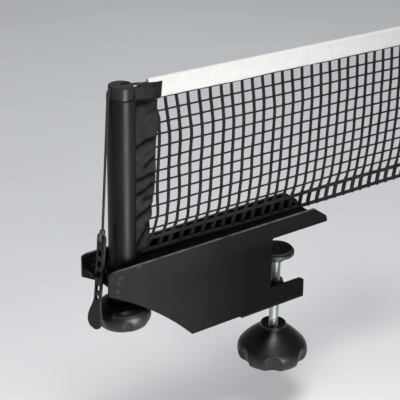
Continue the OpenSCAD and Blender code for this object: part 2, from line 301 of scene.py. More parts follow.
def woven(name, base, lift, pitch_mm, depth_mm, rough=0.86, sheen=0.3, soil=None, spec=0.3):
    """Plain-weave cloth; the piece's lay attribute holds its place in the flat cloth."""
    p = Paint(name, rough=rough, spec=spec, sheen=sheen)
    u, v, painted_shade = p.split(p.attr("lay"))
    k = math.pi / (pitch_mm * MM)
    su = p.math("SINE", p.math("MULTIPLY", u, k))
    sv = p.math("SINE", p.math("MULTIPLY", v, k))
    over = p.math("MULTIPLY", su, sv)
    thread = p.math("ADD", p.math("ABSOLUTE", su), p.math("ABSOLUTE", sv))
    height = p.math("ADD", p.math("MULTIPLY", over, 0.6), thread)
    fibre = p.noise(1700, 4, 0.7)
    height = p.math("ADD", height, p.math("MULTIPLY", fibre, 0.5))
    # darker where the weave lies low: painted shade between the threads
    c = p.mix(p.span(height, 0.2, 2.0, 0, 1), [x * 0.62 for x in base], base)
    c = p.mix(p.span(p.noise(110, 5, 0.65), 0.36, 0.66, 0, 0.95), c, lift)
    # painted shade in creases, hollows and under edges, from the lay attribute's third value
    c = p.mix(p.math("MULTIPLY", painted_shade, 0.96, clamp=True), c, [x * 0.08 for x in base])
    if soil:
        c = p.mix(p.span(p.noise(90, 6, 0.7), 0.6, 0.8, 0, 0.35), c, soil)
    p.colour(c)
    p.rough(p.span(fibre, 0.3, 0.7, rough - 0.08, rough + 0.08))
    p.bump(height, 0.4, depth_mm)
    return p.m


M = {
    # the front plate's own copy of the coat: a lighter base, which is painted light, with painted shade towards the jaw
    "front_coat_painted_light": coated("front_coat_painted_light", (0.0128, 0.0128, 0.0130), (0.0172, 0.0172, 0.0175), 0.44, 0.04, far=(0.0031, 0.0033, 0.0037)),
    "coated_steel": coated("coated_steel", (0.0054, 0.0054, 0.0056), (0.0086, 0.0086, 0.0089), 0.42, 0.12),
    "post_coat": coated("post_coat", (0.0034, 0.0034, 0.0033), (0.0054, 0.0054, 0.0051), 0.39, 0.20, edge=False),
    # darker, nearly unglossy copy of the coat for the tray and the small parts round it: painted shade
    "shaded_coat": coated("shaded_coat", (0.0022, 0.0022, 0.0024), (0.0040, 0.0040, 0.0043), 0.5, 0.012, edge=False),
    "zinc_steel": metal("zinc_steel", (0.70, 0.74, 0.72), (0.52, 0.57, 0.55), 0.30, lines=(1, 1, 6), scale=260),
    "bright_steel": metal("bright_steel", (0.62, 0.63, 0.64), (0.46, 0.47, 0.48), 0.32, lines=(1, 1, 4)),
    "dark_steel": metal("dark_steel", (0.085, 0.086, 0.09), (0.05, 0.05, 0.053), 0.42, lines=(1, 1, 3)),
    "black_plastic": moulded("black_plastic", (0.0012, 0.0012, 0.0011), (0.0024, 0.0023, 0.0021), 0.38, strength=0.12, spec=0.50),
    "cap_plastic": moulded("cap_plastic", (0.0150, 0.0147, 0.0141), (0.0210, 0.0204, 0.0195), 0.40, grain=1100, strength=0.15, spec=0.24),
    # copy of the cap plastic for its top face, with a purple tint that is painted reflection
    "cap_top_painted_reflection": moulded("cap_top_painted_reflection", (0.0135, 0.0122, 0.0136), (0.0195, 0.0175, 0.0192), 0.46, grain=700, strength=0.22, spec=0.06),
    # less glossy copies of the knob plastic for the clamp knob's dome and shoulder: painted shade
    "knob_dome_shaded": moulded("knob_dome_shaded", (0.0012, 0.0012, 0.0012), (0.0024, 0.0024, 0.0022), 0.37, strength=0.12, spec=0.26),
    "knob_shoulder_half_shaded": moulded("knob_shoulder_half_shaded", (0.0012, 0.0012, 0.0012), (0.0024, 0.0024, 0.0022), 0.39, strength=0.12, spec=0.36),
    # near-black, less glossy copy of the knob plastic for the height knob's upper dome: painted shade
    "knob_top_shaded": moulded("knob_top_shaded", (0.0008, 0.0008, 0.0010), (0.0016, 0.0016, 0.0018), 0.27, strength=0.10, spec=0.14),
    "strap_shade": moulded("strap_shade", (0.0010, 0.0010, 0.0011), (0.0020, 0.0020, 0.0021), 0.55, strength=0.15, spec=0.02),
    "strap_plastic": moulded("strap_plastic", (0.0058, 0.0062, 0.0064), (0.0095, 0.0100, 0.0102), 0.40, strength=0.15, spec=0.17),
    # darker, less glossy copy of the knob plastic for the clamp knob's mouth: painted shade
    "recess_shade_plastic": moulded("recess_shade_plastic", (0.0016, 0.0016, 0.0022), (0.0026, 0.0026, 0.0034), 0.45, strength=0.12, spec=0.10),
    "nylon": moulded("nylon", (0.014, 0.014, 0.015), (0.021, 0.021, 0.022), 0.48, grain=800, strength=0.12),
    "rubber_pad": rubber("rubber_pad", (0.011, 0.011, 0.011), (0.018, 0.018, 0.018)),
    "cord": braided("cord", (0.011, 0.011, 0.012), (0.018, 0.018, 0.020), 1.5, 4, 0.22, sheen=0.12),
    "twine": braided("twine", (0.0105, 0.0108, 0.0130), (0.0165, 0.0170, 0.0200), 1.3, 3, 0.25, sheen=0.02, spec=0.14),
    # the same cord in a much lighter colour for its loop through the eye: painted highlight
    "cord_loop_lit": braided("cord_loop_lit", (0.105, 0.107, 0.100), (0.17, 0.17, 0.16), 1.5, 4, 0.16, sheen=0.05),
    "thread": braided("thread", (0.012, 0.012, 0.013), (0.02, 0.02, 0.022), 0.8, 2, 0.08, sheen=0.06),
    "white_thread": braided("white_thread", (0.72, 0.72, 0.70), (0.8, 0.8, 0.78), 0.8, 2, 0.08, sheen=0.0),
    "binding": woven("binding", (0.0165, 0.0162, 0.0182), (0.0300, 0.0293, 0.0322), 0.42, 0.12, sheen=0.02, spec=0.07),
    "tape": woven("tape", (0.635, 0.64, 0.63), (0.60, 0.602, 0.595), 0.38, 0.07, sheen=0.1, soil=(0.62, 0.62, 0.60)),
    "rod": moulded("rod", (0.46, 0.46, 0.42), (0.52, 0.52, 0.48), 0.35, grain=500, strength=0.08),
}


# ------------------------------------------------------------------- meshes


def place(name, bm, mat, body, node=None, angle=38, weighted=True, blend=None):
    """Turns a bmesh in millimetres into a piece of the object."""
    bmesh.ops.remove_doubles(bm, verts=bm.verts, dist=0.0015)
    bmesh.ops.dissolve_degenerate(bm, dist=0.0005, edges=bm.edges)
    bmesh.ops.recalc_face_normals(bm, faces=bm.faces)
    lim = math.radians(angle)
    for f in bm.faces:
        f.smooth = True
    for e in bm.edges:
        e.smooth = not (len(e.link_faces) == 2 and e.calc_face_angle(0) > lim)
    bmesh.ops.scale(bm, vec=(MM, MM, MM), verts=bm.verts)
    me = bpy.data.meshes.new(name)
    bm.to_mesh(me)
    bm.free()
    o = bpy.data.objects.new(name, me)
    bpy.context.scene.collection.objects.link(o)
    me.materials.append(M[mat])
    if weighted:
        w = o.modifiers.new("normals", "WEIGHTED_NORMAL")
        w.keep_sharp = True
    if blend:
        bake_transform(o)
    else:
        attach(o, body)
    if node:
        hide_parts(*([node] if isinstance(node, str) else node))
    return o


def set_lay(bm, values):
    """Stores a place along and across the piece, in metres, on each vertex."""
    layer = bm.verts.layers.float_vector.get("lay") or bm.verts.layers.float_vector.new("lay")
    for v, (a, b) in values:
        v[layer] = Vector((a, b, 0))


def prism(outline, y0, y1):
    """Upright sheet from an X,Z outline between two Y values."""
    bm = bmesh.new()
    front = [bm.verts.new((x, y0, z)) for x, z in outline]
    back = [bm.verts.new((x, y1, z)) for x, z in outline]
    bm.faces.new(front)
    bm.faces.new(back[::-1])
    n = len(outline)
    for i in range(n):
        bm.faces.new((front[i], back[i], back[(i + 1) % n], front[(i + 1) % n]))
    return bm


def soften(bm, width, angle=30, segments=3):
    """Rounds every edge sharper than angle."""
    bmesh.ops.recalc_face_normals(bm, faces=bm.faces)
    lim = math.radians(angle)
    edges = [e for e in bm.edges if len(e.link_faces) == 2 and e.calc_face_angle(0) > lim]
    bmesh.ops.bevel(bm, geom=edges, offset=width, offset_type="OFFSET", segments=segments, profile=0.5, affect="EDGES", clamp_overlap=False)
    return bm


def from_cad(node, width=0.0, angle=30, segments=2, flat=1.0):
    """A copy of a CAD node's mesh, made whole, with its sharp edges rounded."""
    bm = bmesh.new()
    bm.from_mesh(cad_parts[node].data)
    bmesh.ops.scale(bm, vec=(1000, 1000, 1000), verts=bm.verts)
    bmesh.ops.remove_doubles(bm, verts=bm.verts, dist=0.002)
    bmesh.ops.dissolve_limit(bm, angle_limit=math.radians(flat), verts=bm.verts, edges=bm.edges)
    if width:
        soften(bm, width, angle, segments)
    return bm


def lathe(line, x=0.0, y=0.0, n=96, closed=False):
    """Turned solid around an upright axis from (radius, z) points."""
    bm = bmesh.new()
    rows = []
    for r, z in line:
        if r < 1e-6:
            rows.append([bm.verts.new((x, y, z))])
        else:
            rows.append([bm.verts.new((x + r * math.cos(2 * math.pi * k / n), y + r * math.sin(2 * math.pi * k / n), z)) for k in range(n)])
    pairs = list(zip(rows, rows[1:])) + ([(rows[-1], rows[0])] if closed else [])
    for a, b in pairs:
        for k in range(n):
            q = [a[k % len(a)], a[(k + 1) % n % len(a)], b[(k + 1) % n % len(b)], b[k % len(b)]]
            q = list(dict.fromkeys(q))
            if len(q) > 2:
                bm.faces.new(q)
    return bm


def rounded(line, r, steps=4):
    """Rounds the corners of an open (a, b) line."""
    out = [line[0]]
    for i in range(1, len(line) - 1):
        p0, p1, p2 = Vector(line[i - 1]), Vector(line[i]), Vector(line[i + 1])
        a, b = p0 - p1, p2 - p1
        d = min(r, a.length * 0.45, b.length * 0.45)
        s, e = p1 + a.normalized() * d, p1 + b.normalized() * d
        for k in range(steps + 1):
            t = k / steps
            out.append(tuple((s * (1 - t) ** 2 + p1 * 2 * t * (1 - t) + e * t * t)))
    out.append(line[-1])
    return out


def resample(pts, step):
    """Points along a polyline at an even spacing of about step."""
    pts = [Vector(p) for p in pts]
    run = [0.0]
    for a, b in zip(pts, pts[1:]):
        run.append(run[-1] + (b - a).length)
    n = max(2, int(round(run[-1] / step)))
    out, i = [], 0
    for k in range(n + 1):
        d = run[-1] * k / n
        while i < len(run) - 2 and run[i + 1] < d:
            i += 1
        t = (d - run[i]) / max(run[i + 1] - run[i], 1e-9)
        out.append(pts[i].lerp(pts[i + 1], min(max(t, 0), 1)))
    return out


def spline(pts, step):
    """Smooth curve through points, sampled about every step."""
    pts = [Vector(p) for p in pts]
    out = []
    for i in range(len(pts) - 1):
        p0 = pts[i - 1] if i else pts[0] * 2 - pts[1]
        p1, p2 = pts[i], pts[i + 1]
        p3 = pts[i + 2] if i + 2 < len(pts) else pts[-1] * 2 - pts[-2]
        n = max(1, int((p2 - p1).length / step * 2))
        for k in range(n):
            t = k / n
            out.append(0.5 * ((2 * p1) + (p2 - p0) * t + (2 * p0 - 5 * p1 + 4 * p2 - p3) * t * t + (3 * p1 - p0 - 3 * p2 + p3) * t**3))
    out.append(pts[-1])
    return resample(out, step)


def tube(bm, pts, radius, n=8, shape=None, turn=0.0, start=0.0):
    """Adds a capped tube along points; radius may depend on the length run, and shape squashes it."""
    layer = bm.verts.layers.float_vector.get("lay") or bm.verts.layers.float_vector.new("lay")
    pts = [Vector(p) for p in pts]
    t0 = (pts[1] - pts[0]).normalized()
    ref = Vector((0, 1, 0)) if abs(t0.y) < 0.8 else Vector((1, 0, 0))
    u = (ref - t0 * ref.dot(t0)).normalized()
    rows, run = [], start
    for i, p in enumerate(pts):
        t = (pts[min(i + 1, len(pts) - 1)] - pts[max(i - 1, 0)]).normalized()
        u = (u - t * u.dot(t)).normalized()
        w = t.cross(u)
        if i:
            run += (p - pts[i - 1]).length
        r = radius(run) if callable(radius) else radius
        a, b = shape(run) if shape else (1, 1)
        row = []
        for k in range(n):
            ang = 2 * math.pi * k / n + turn
            v = bm.verts.new(p + u * (r * a * math.cos(ang)) + w * (r * b * math.sin(ang)))
            v[layer] = Vector((run * MM, k / n, 0))
            row.append(v)
        rows.append(row)
    for a, b in zip(rows, rows[1:]):
        for k in range(n):
            bm.faces.new((a[k], a[(k + 1) % n], b[(k + 1) % n], b[k]))
    bm.faces.new(rows[0][::-1])
    bm.faces.new(rows[-1])
    return bm


def thread(r_out, depth, pitch, z0, z1, x, y, n=28, chamfer=0.9):
    """A right-handed screw thread on an upright axis, with chamfered ends."""
    bm = bmesh.new()
    marks = [(0.0, r_out - depth), (0.22, r_out - depth), (0.56, r_out), (0.69, r_out)]
    turns = int((z1 - z0) / pitch) + 3
    cols = []
    for i in range(n):
        a = 2 * math.pi * i / n
        col = []
        for k in range(-1, turns):
            for f, r in marks:
                z = z0 + pitch * (k + f + i / n)
                zz = min(max(z, z0), z1)
                r2 = min(r, r_out - chamfer + max(0, zz - z0), r_out - chamfer + max(0, z1 - zz))
                col.append(bm.verts.new((x + r2 * math.cos(a), y + r2 * math.sin(a), zz)))
        cols.append(col)
    m = len(cols[0])
    for i in range(n):
        a, b = cols[i], cols[(i + 1) % n]
        off = 4 if i == n - 1 else 0
        for j in range(m - 1):
            if j + 1 + off < m:
                q = (a[j + off], b[j], b[j + 1], a[j + 1 + off]) if off == 0 else (a[j], b[j + off], b[j + 1 + off], a[j + 1])
                try:
                    bm.faces.new(q)
                except ValueError:
                    pass
    bmesh.ops.remove_doubles(bm, verts=bm.verts, dist=0.0008)
    bmesh.ops.dissolve_degenerate(bm, dist=0.0008, edges=bm.edges)
    rim = [e for e in bm.edges if len(e.link_faces) == 1]
    bmesh.ops.holes_fill(bm, edges=rim, sides=0)
    return bm


def smin(a, b, k):
    if a > 1e8 or b > 1e8:
        return min(a, b)
    h = max(k - abs(a - b), 0) / k
    return min(a, b) - h * h * k * 0.25


def knob(line, centre, fr, fx, fz, tilt, first, pocket_r, pocket_z, bore_r, mouth=None, soft=2.6, n=216, flutes=6):
    """Moulded knob: turned body whose skirt is cut by slanting finger flutes."""
    t = math.tan(math.radians(tilt))
    a = fr / math.cos(math.radians(tilt))

    def flute(phi, z):
        cx = fx + (z - fz) * t
        c, s = math.cos(phi), math.sin(phi)
        qa = (c / a) ** 2 + (s / fr) ** 2
        qb = -2 * c * cx / a**2
        qc = (cx / a) ** 2 - 1
        disc = qb * qb - 4 * qa * qc
        if disc <= 0 or c <= 0:
            return 1e9
        return (-qb - math.sqrt(disc)) / (2 * qa)

    z_low = min(z for _, z in line)
    outer = resample(rounded(line, 1.6, 4), 0.62)
    bm = bmesh.new()
    rows = []

    def ring(fn):
        row = []
        for k in range(n):
            ang = 2 * math.pi * k / n
            phi = math.remainder(ang - math.radians(first), 2 * math.pi / flutes)
            r, z = fn(phi)
            row.append(bm.verts.new((centre[0] + r * math.cos(ang), centre[1] + r * math.sin(ang), z)))
        rows.append(row)

    def limited(r, z):
        def fn(phi):
            lip = max(0.0, 1 - (z - z_low) / 1.4)
            f = flute(phi, z)
            if f < 1e8:
                f -= 1.1 * lip * lip
            return smin(r, f, soft), z

        return fn

    for p in outer:
        ring(limited(p[0], p[1]))
    last = outer[-1]

    def base(q):
        def fn(phi):
            r, z = limited(last[0], last[1])(phi)
            return lerp(r, pocket_r + 0.5, q), z

        return fn

    for q in (0.03, 0.1, 0.3, 0.6, 0.85, 1.0):
        ring(base(q))
    for r, z in [(pocket_r, z_low + 0.5), (pocket_r, pocket_z - 0.3), (pocket_r - 0.3, pocket_z), (bore_r, pocket_z)]:
        ring(lambda phi, r=r, z=z: (r, z))
    top_r, top_z = outer[0]
    inner = [(bore_r, mouth[0]), (mouth[1], top_z - 0.15), (mouth[1] + 0.2, top_z)] if mouth else [(bore_r, top_z - 0.4), (bore_r + 0.4, top_z)]
    for r, z in inner:
        ring(lambda phi, r=r, z=z: (r, z))
    for p, q in list(zip(rows, rows[1:])) + [(rows[-1], rows[0])]:
        for k in range(n):
            bm.faces.new((p[k], p[(k + 1) % n], q[(k + 1) % n], q[k]))
    return bm


# ---------------------------------------------------------- welded bracket


def plate_outline():
    a, b, r = Vector((-80.2, -ARM_Z)), Vector((-REACH, -3.4)), 290.0
    d = b - a
    h = math.sqrt(r * r - d.length_squared / 4)
    c = (a + b) / 2 - h * Vector((d.y, -d.x)) / d.length
    a0 = math.atan2(a.y - c.y, a.x - c.x)
    a1 = math.atan2(b.y - c.y, b.x - c.x)
    arc = [(c.x + r * math.cos(lerp(a1, a0, k / 40)), c.y + r * math.sin(lerp(a1, a0, k / 40))) for k in range(41)]
    top = rounded(
        [(-REACH, -3.4), (-REACH, RIM_Z - 1.9), (-REACH + 1.6, RIM_Z - 0.9), (-REACH + 5.0, RIM_Z), (NOSE - 15.2, RIM_Z), (NOSE - 1.2, 5.9), (NOSE, 0.4)], 1.3, 3)
    low = rounded([(NOSE, 0.4), (0, 0.4), (0, -45.5), (32, -45.5), (36, -48.1), (36.4, -ARM_Z), (-80.2, -ARM_Z)], 0.7, 3)
    pts = arc[::-1][1:] + top[1:] + low[1:]
    out = []
    for p in pts:
        if not out or (Vector(p) - Vector(out[-1])).length > 0.02:
            out.append(p)
    while (Vector(out[0]) - Vector(out[-1])).length < 0.02:
        out.pop()
    return out


OUTLINE = plate_outline()
# the front plate takes the painted-light copy of the coat, the back plate the plain coat
for name, y0 in (("side_plate_front", -BODY_W / 2), ("side_plate_back", IN_Y)):
    bm = soften(prism(OUTLINE, y0, y0 + SHEET), 0.42, 50, 3)
    place(name + "_steel", bm, "front_coat_painted_light" if y0 < 0 else "coated_steel", "bracket", name)

# the tray takes the painted-shade copy of the coat; its faces at the open outer end take the plain coat
web = place("top_web_steel", from_cad("top_web", 0.3), "shaded_coat", "bracket", "top_web")
web.data.materials.append(M["coated_steel"])
for f in web.data.polygons:
    if f.normal.x < -0.3 and f.center.x < -0.145:
        f.material_index = 1
place("arm_web_steel", from_cad("arm_web", 0.35, segments=3), "coated_steel", "bracket", "arm_web")
place("weld_nut_steel", from_cad("weld_nut", 0.4), "coated_steel", "bracket", "weld_nut")
# the hook takes the painted-shade copy of the coat
place("strap_hook_steel", from_cad("strap_hook", 0.35, segments=3), "shaded_coat", "bracket", "strap_hook")


def weld_beads():
    """Fillet welds where the webs meet the side plates, with the ripple of each pass."""
    bm = bmesh.new()
    for side in (-1, 1):
        for x0, x1 in ((-150, -118), (-92, -66), (-36, -12), (14, 36)):
            pts = [(x, side * (IN_Y - 0.3), 4.45) for x in [x0 + k * 0.5 for k in range(int((x1 - x0) * 2) + 1)]]
            n = len(pts)
            tube(bm, pts, lambda s, L=x1 - x0: 0.9 * min(1, (s + 0.25) / 1.6, (L - s + 0.25) / 1.6) ** 0.5 + 0.09 * math.sin(s * 4.1), n=10)
    for x0, x1 in ((-24, 6), (30.5, 35.5)):
        pts = [(x, s * 0 - 17.75, -62.1) for s in (1,) for x in [x0 + k * 0.5 for k in range(int((x1 - x0) * 2) + 1)]]
        tube(bm, pts, lambda s, L=x1 - x0: 0.75 * min(1, (s + 0.25) / 1.4, (L - s + 0.25) / 1.4) ** 0.5 + 0.08 * math.sin(s * 4.1), n=10)
        pts = [(p[0], 17.75, -62.1) for p in pts]
        tube(bm, pts, lambda s, L=x1 - x0: 0.75 * min(1, (s + 0.25) / 1.4, (L - s + 0.25) / 1.4) ** 0.5 + 0.08 * math.sin(s * 4.1), n=10)
    pts = [(PX + 12.7 * math.cos(a), 12.7 * math.sin(a), 4.35) for a in [math.pi * 2 * k / 140 for k in range(141)]]
    tube(bm, pts, lambda s: 0.75 + 0.07 * math.sin(s * 3.7), n=10)
    pts = [(SCREW_X + 7.35 * math.cos(a), 7.35 * math.sin(a), -62.2) for a in [math.pi * 2 * k / 90 for k in range(91)]]
    tube(bm, pts, lambda s: 0.7 + 0.08 * math.sin(s * 3.9), n=10)
    return bm


# the weld beads take the painted-shade copy of the coat, those at the open outer end the plain coat
beads = place("weld_beads", weld_beads(), "shaded_coat", "bracket", None, angle=80, weighted=False)
beads.data.materials.append(M["coated_steel"])
for f in beads.data.polygons:
    if f.center.x < -0.1415:
        f.material_index = 1

# jaw pad: rubber strip with cross ribs on its underside
bm = bmesh.new()
line = [(3, 2.2), (3, 0.5)]
for k in range(16):
    x = 4.6 + k * 3.0
    line += [(x - 1.1, 0), (x + 1.0, 0), (x + 1.3, 0.7), (x + 1.7, 0.7)]
line += [(53, 0.5), (53, 2.2)]
bm = prism(line, -IN_Y + 0.5, IN_Y - 0.5)
place("jaw_pad_rubber", soften(bm, 0.12, 25, 2), "rubber_pad", "bracket", "jaw_pad")

# rivets that hold the hook
bm = bmesh.new()
for y in (-8.5, -3.5):
    x = -REACH + 7.9
    head = [(0, 1.2), (1.0, 1.22), (1.7, 1.5), (2.1, 2.2), (1.25, 2.2), (1.25, 6.2), (2.1, 6.2), (1.9, 6.75), (1.2, 7.12), (0, 7.2)]
    part = lathe(head, x, y, 40)
    me = bpy.data.meshes.new("tmp")
    part.to_mesh(me)
    part.free()
    bm.from_mesh(me)
    bpy.data.meshes.remove(me)
# the rivets take the painted-shade copy of the coat
place("hook_rivets_steel", bm, "shaded_coat", "bracket", "hook_rivets")

# ------------------------------------------------------------- table clamp

FOOT_Z = -22.0


def clamp_screw():
    bm = thread(4.0, 0.77, 1.25, -128.2, -33.8, SCREW_X, 0)
    neck = lathe([(0, -34.0), (2.5, -34.0), (2.5, -30.95), (3.4, -30.85), (3.5, -30.6), (3.5, -26.6), (3.0, -26.05), (0, -26.05)], SCREW_X, 0, 48)
    me = bpy.data.meshes.new("tmp")
    neck.to_mesh(me)
    neck.free()
    bm.from_mesh(me)
    bpy.data.meshes.remove(me)
    return bm


place("clamp_screw_thread", clamp_screw(), "zinc_steel", "clamp_spindle", "clamp_screw", angle=24, weighted=False)

CLAMP_LINE = [
    (10.9, -94.3), (10.9, -97), (11.6, -98), (14, -99.8), (18, -102.9), (22, -106.6), (26, -110.8),
    (28, -113), (29.5, -115.2), (30.3, -117.4), (30.6, -119.8), (30.5, -122), (29.8, -124.6),
    (28.6, -126.8), (27, -128.3), (25.8, -128.8),
]
bm = knob([(10.5, -94.3)] + CLAMP_LINE + [(25.0, -128.8)], (SCREW_X, 0), 12, 39.1, -120, 12.6, 233.3, 9.0, -121.3, 4.0, mouth=(-97.8, 10.1), soft=0.9, n=264)
moulding = place("clamp_knob_moulding", bm, "black_plastic", "clamp_spindle", "clamp_knob", angle=60, weighted=False)
# the mouth, the dome and the shoulder take the painted-shade copies of the plastic
for m in ("recess_shade_plastic", "knob_dome_shaded", "knob_shoulder_half_shaded"):
    moulding.data.materials.append(M[m])
for f in moulding.data.polygons:
    if f.center.z > -0.0981 and math.hypot(f.center.x - SCREW_X * MM, f.center.y) < 0.0108:
        f.material_index = 1
    elif f.center.z > -0.1138:
        f.material_index = 2
    elif f.center.z > -0.1160:
        f.material_index = 3
place("knob_nut_steel", from_cad("knob_nut", 0.35), "bright_steel", "clamp_spindle", "knob_nut")

place("foot_cup_steel", from_cad("foot_cup", 0.4, segments=3), "dark_steel", "clamp_foot", "foot_cup")
place("foot_rubber_pad", lathe(
    [(0, -24.0), (13.5, -24.0), (13.5, -22.4), (13.2, -22.05), (12.6, -22.0), (11.4, -22.0), (11.1, -22.7), (10.2, -22.7), (9.9, -22.0),
     (8.2, -22.0), (7.9, -22.7), (7.0, -22.7), (6.7, -22.0), (5.0, -22.0), (4.7, -22.7), (3.8, -22.7), (3.5, -22.0), (0, -22.0)], SCREW_X, 0, 96),
    "rubber_pad", "clamp_foot", "foot_rubber")
place("foot_retainer_ring", from_cad("foot_retainer", 0.2), "bright_steel", "clamp_foot", "foot_retainer")

# -------------------------------------------------------------------- post


def post_tube():
    """Slotted tube as one closed skin, with its rim and slot edges rounded."""
    half = math.asin(SLOT_W / 2 / TUBE_R)
    n = 120
    angs = [half + (2 * math.pi - 2 * half) * k / n for k in range(n + 1)]
    gap = [0.0]
    zs = [4.2, 6.5, 12, 20, 40, 60, 80, 100, 120, 135, 141, TUBE_TOP]
    bm = bmesh.new()
    cols = []
    ring = angs + [2 * math.pi]  # the last one stands in the middle of the slot's span
    for a in ring:
        cols.append([[bm.verts.new((PX + r * math.cos(a), r * math.sin(a), z)) for z in zs] for r in (TUBE_R, BORE_R)])
    m = len(cols)
    low = zs.index(20)
    for i in range(m):
        j = (i + 1) % m
        slotted = i >= m - 2
        top = low if slotted else len(zs) - 1
        for k in range(top):
            bm.faces.new((cols[i][0][k], cols[j][0][k], cols[j][0][k + 1], cols[i][0][k + 1]))
            bm.faces.new((cols[i][1][k + 1], cols[j][1][k + 1], cols[j][1][k], cols[i][1][k]))
        bm.faces.new((cols[i][0][0], cols[i][1][0], cols[j][1][0], cols[j][0][0]))
        bm.faces.new((cols[i][0][top], cols[j][0][top], cols[j][1][top], cols[i][1][top]))
    for i in (0, m - 2):
        for k in range(low, len(zs) - 1):
            bm.faces.new((cols[i][0][k], cols[i][0][k + 1], cols[i][1][k + 1], cols[i][1][k]))
    loose = [v for v in bm.verts if not v.link_faces]
    bmesh.ops.delete(bm, geom=loose, context="VERTS")
    return soften(bm, 0.38, 50, 3)


place("post_tube_steel", post_tube(), "post_coat", "bracket", "post_tube")
# the socket takes the painted-shade copy of the coat
place("post_socket_steel", lathe(
    [(TUBE_R + 0.02, 4.2), (TUBE_R + 1.8, 4.2), (TUBE_R + 1.8, 9.2), (TUBE_R + 1.5, 10.1), (TUBE_R + 0.9, 10.45), (TUBE_R + 0.02, 10.5)], PX, 0, 120, closed=True),
    "shaded_coat", "bracket", "post_socket")
cap = place("post_cap_moulding", from_cad("post_cap", 0.0), "cap_plastic", "plunger", "post_cap", angle=30)
# the top face takes the copy with the painted reflection tint
cap.data.materials.append(M["cap_top_painted_reflection"])
for f in cap.data.polygons:
    if f.normal.z > 0.9 and f.center.z > 0.1535:
        f.material_index = 1
place("guide_bush_moulding", from_cad("guide_bush", 0.35, segments=3), "nylon", "bracket", "guide_bush")
place("base_plug_moulding", from_cad("base_plug", 0.3), "nylon", "bracket", "base_plug")
place("thrust_washer_steel", from_cad("thrust_washer", 0.15), "bright_steel", "bracket", "thrust_washer")
place("height_screw_thread", thread(3.0, 0.61, 1.0, -40.4, 75.0, PX, 0, n=20, chamfer=0.7), "zinc_steel", "height_spindle", "height_screw", angle=24, weighted=False)

LIFT_LINE = [
    (8.4, -18.4), (8.4, -19.6), (9.2, -20.4), (13.7, -21.6), (16.7, -23.4), (19.4, -25.9), (21.5, -29),
    (22.2, -31.8), (22.3, -34.6), (21.7, -37.6), (20.4, -40.1), (19.2, -41),
]
bm = knob([(6.4, -18.4)] + LIFT_LINE + [(18.4, -41)], (PX, 0), 14, 35.2, -36, 12, 247, 6.5, -35.6, 3.0, soft=0.5, n=264)
lift_knob = place("height_knob_moulding", bm, "black_plastic", "height_spindle", "height_knob", angle=60, weighted=False)
# the upper dome, under the bracket, takes the painted-shade copy of the plastic
lift_knob.data.materials.append(M["knob_top_shaded"])
for f in lift_knob.data.polygons:
    if f.center.z > -0.0268:
        f.material_index = 1
place("height_knob_nut_steel", from_cad("height_knob_nut", 0.3), "bright_steel", "height_spindle", "height_knob_nut")
place("screw_circlip_steel", from_cad("screw_circlip", 0.12), "dark_steel", "height_spindle", "screw_circlip")
place("plunger_tube_steel", from_cad("plunger_tube", 0.25), "dark_steel", "plunger", "plunger_tube")
place("plunger_nut_steel", from_cad("plunger_nut", 0.3), "bright_steel", "plunger", "plunger_nut")
place("plunger_guide_moulding", from_cad("plunger_guide", 0.25), "nylon", "plunger", "plunger_guide")

# ------------------------------------------------------ tension cord, strap

CORD = [
    (-110.9, 0, 151.3), (-115, 0, 151.9), (-119, 0, 152.6), (-123, 0, 153.15),
    (-128, 0, 153.3), (-133, 0, 153.3), (-138, 0, 153.3), (-141.8, 0, 153.2),
    (-143.5, -0.2, 152.6), (-144.8, -0.5, 151.2), (-145.4, -0.9, 148.9),
    (-145.5, -1.2, 146), (-146.02, -1.46, 140), (-146.71, -1.8, 132),
    (-147.57, -2.23, 122), (-148.43, -2.66, 112), (-149.3, -3.1, 102),
    (-150.16, -3.53, 92), (-151.02, -3.96, 82), (-151.88, -4.39, 72),
    (-152.75, -4.82, 62), (-153.44, -5.17, 54), (-154.1, -5.5, 46.4),
    (-154.22, -5.5, 45.75),
]
line = spline(CORD, 0.5)
cap_mid = min(range(len(line)), key=lambda i: abs(line[i].x + 133.4))
z_cut = next(i for i in range(cap_mid, len(line)) if line[i].z < 86)
runs = [0.0]
for a, b in zip(line, line[1:]):
    runs.append(runs[-1] + (b - a).length)

bm = tube(bmesh.new(), line[: cap_mid + 1], 1.0, n=12)
# the cord's turned-back end, spliced into it beside the cap
back = spline([(-111.2, 0.2, 150.6), (-113.6, 0.25, 150.5), (-116.4, 0.2, 150.9), (-119.2, 0.1, 151.9), (-121.5, 0, 152.7)], 0.5)
tube(bm, back, lambda s: 0.55 + 0.05 * math.sin(s), n=10)
place("tension_cord_net_side", bm, "cord", None, "tension_cord", angle=80, weighted=False,
      blend=("bracket", "plunger", (-111.5, 0, 152), (-122.5, 0, 152)))
bm = tube(bmesh.new(), line[cap_mid : z_cut + 1], 1.0, n=12, start=runs[cap_mid])
place("tension_cord_post_side", bm, "cord", None, None, angle=80, weighted=False,
      blend=("bracket", "plunger", (-150, -3.4, 90), (-145.5, -1.2, 148)))
bm = tube(bmesh.new(), line[z_cut:], 1.0, n=12, start=runs[z_cut])
place("tension_cord_strap_side", bm, "cord", None, None, angle=80, weighted=False,
      blend=("bracket", "strap", (-153.3, -5.1, 55), (-154.1, -5.5, 46.4)))

LEAN = Matrix.Rotation(math.radians(5.2), 4, "Y")
TO_STRAP = Matrix.Translation(EYE) @ LEAN
HOLE_Z = (TO_STRAP.inverted() @ Vector((-159.34, -5.5, -9.7))).z


def on_strap(p):
    return TO_STRAP @ Vector(p)


